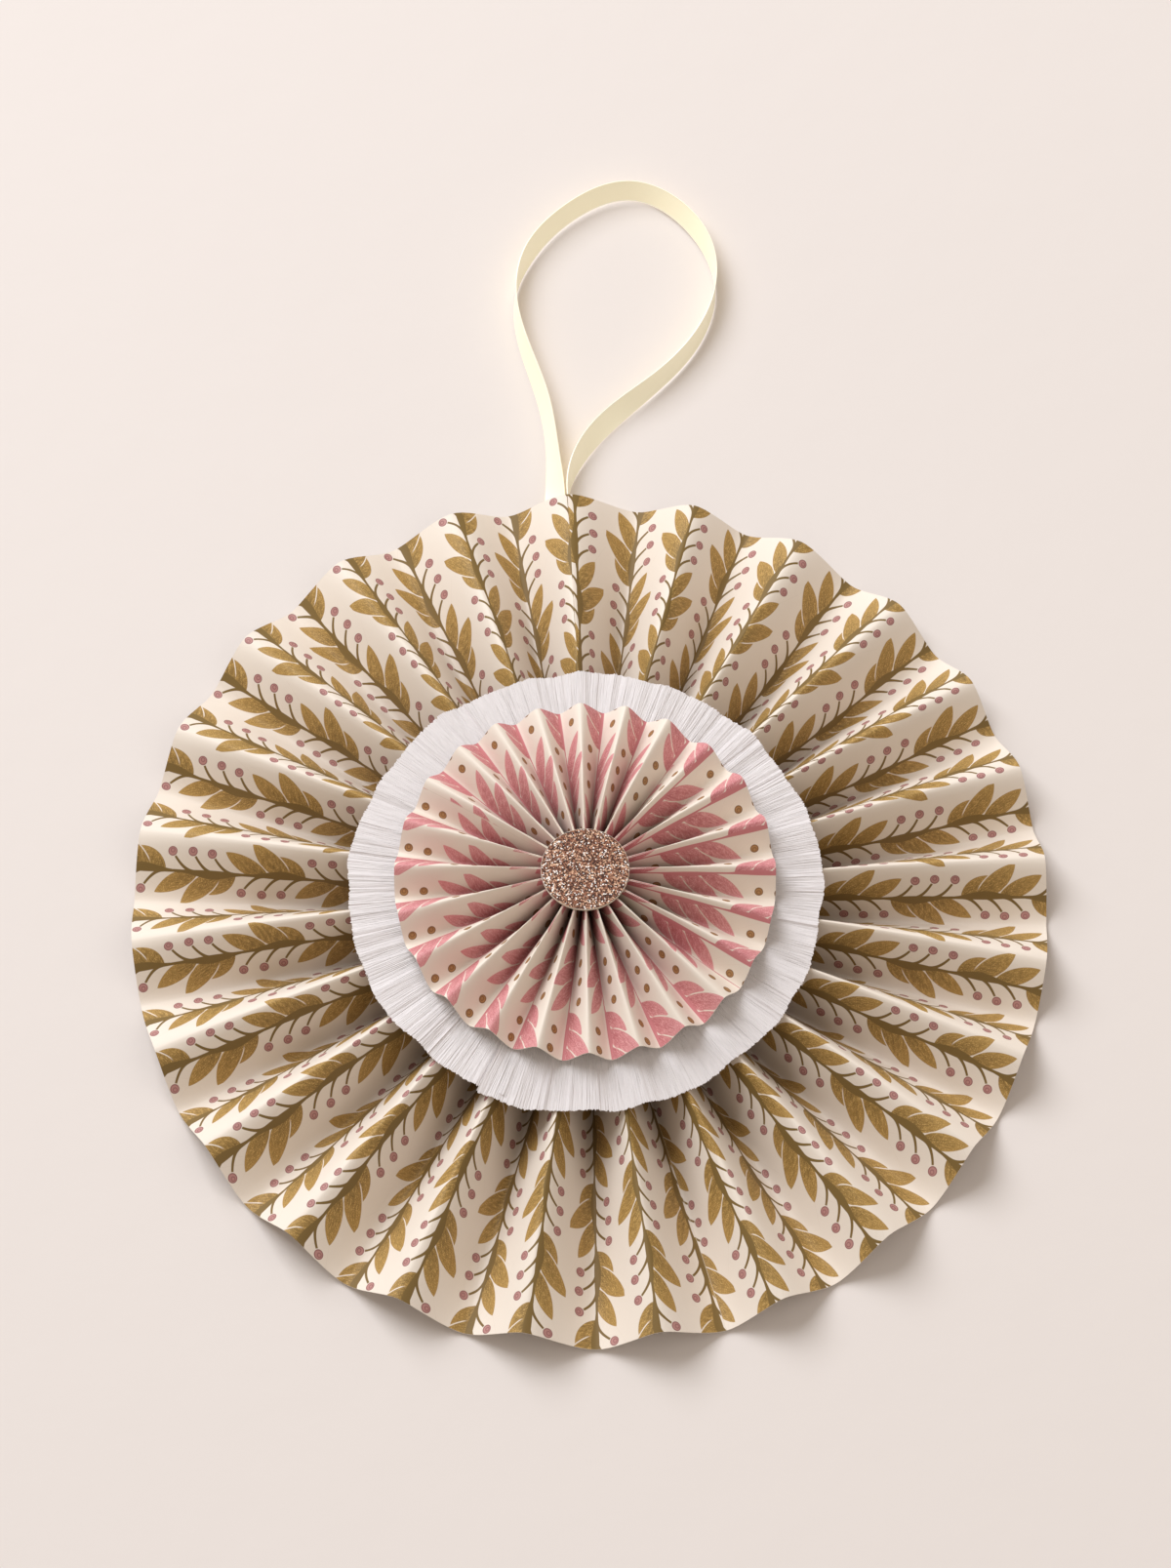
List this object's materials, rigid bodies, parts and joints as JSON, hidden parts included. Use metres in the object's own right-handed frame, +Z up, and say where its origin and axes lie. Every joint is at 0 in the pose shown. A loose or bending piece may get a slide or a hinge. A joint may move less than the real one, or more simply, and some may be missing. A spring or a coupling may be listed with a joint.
{
  "type": "paper fan rosette",
  "caption": "Layered hanging rosette: a large pleated paper fan, a crepe frill, a small pleated fan and a glitter card disc, with a ribbon loop to hang it by.",
  "frame": {"origin": "centre of the large fan, on the table that the object lies face up on", "axes": "+Z up, out of the decorated face; +Y towards the ribbon loop; +X to the right as seen from the face"},
  "size_m": [0.2661, 0.3778, 0.0336],
  "materials": {
    "leaf_paper": "matte printed paper, cream with golden olive sprays",
    "crepe_paper": "white crepe",
    "rose_paper": "matte printed paper, cream with rose leaves and brown dots",
    "glitter_card": "rose gold glitter",
    "satin": "ivory satin",
    "plain_card": "matte",
    "glue": "hot-melt glue"
  },
  "bodies": {
    "root": {"large_fan": "leaf_paper", "crepe_frill": "crepe_paper", "small_fan": "rose_paper", "glitter_disc": "glitter_card", "ribbon_loop": "satin", "back_disc": "plain_card", "frill_disc": "plain_card", "large_hub_glue": "glue", "small_hub_glue": "glue"}
  },
  "joints": []
}
